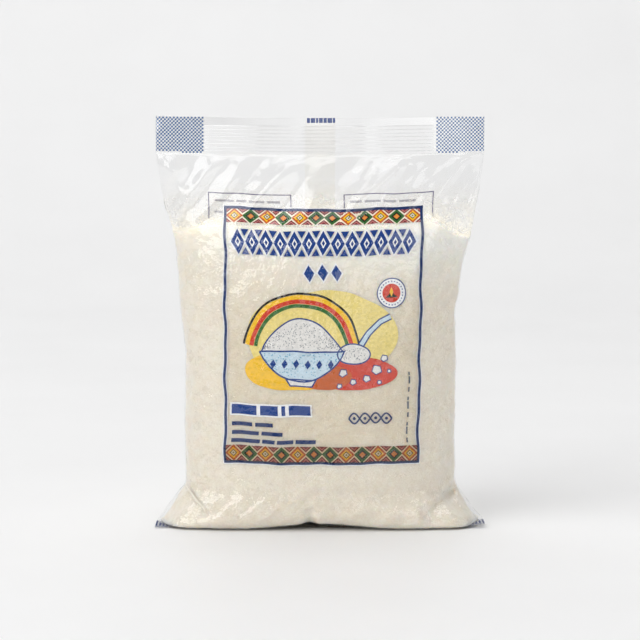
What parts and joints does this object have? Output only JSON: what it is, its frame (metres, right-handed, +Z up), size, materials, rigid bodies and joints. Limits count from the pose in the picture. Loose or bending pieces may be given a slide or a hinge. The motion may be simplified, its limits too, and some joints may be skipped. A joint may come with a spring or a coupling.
{
  "type": "sugar packet",
  "caption": "Clear plastic pillow bag of granulated sugar, standing upright on its flattened base with a crimped seal on top.",
  "frame": {"origin": "on the surface the bag stands on, at the middle of its bounding box", "axes": "+Z up, +X along the seal to the right of the printed front, +Y towards the back seam, so the front faces -Y"},
  "size_m": [0.172, 0.0716, 0.212],
  "materials": {
    "film_and_sugar": "clear glossy film over fine cream-white sugar"
  },
  "bodies": {
    "root": {"sugar_bag": "film_and_sugar"}
  },
  "joints": []
}
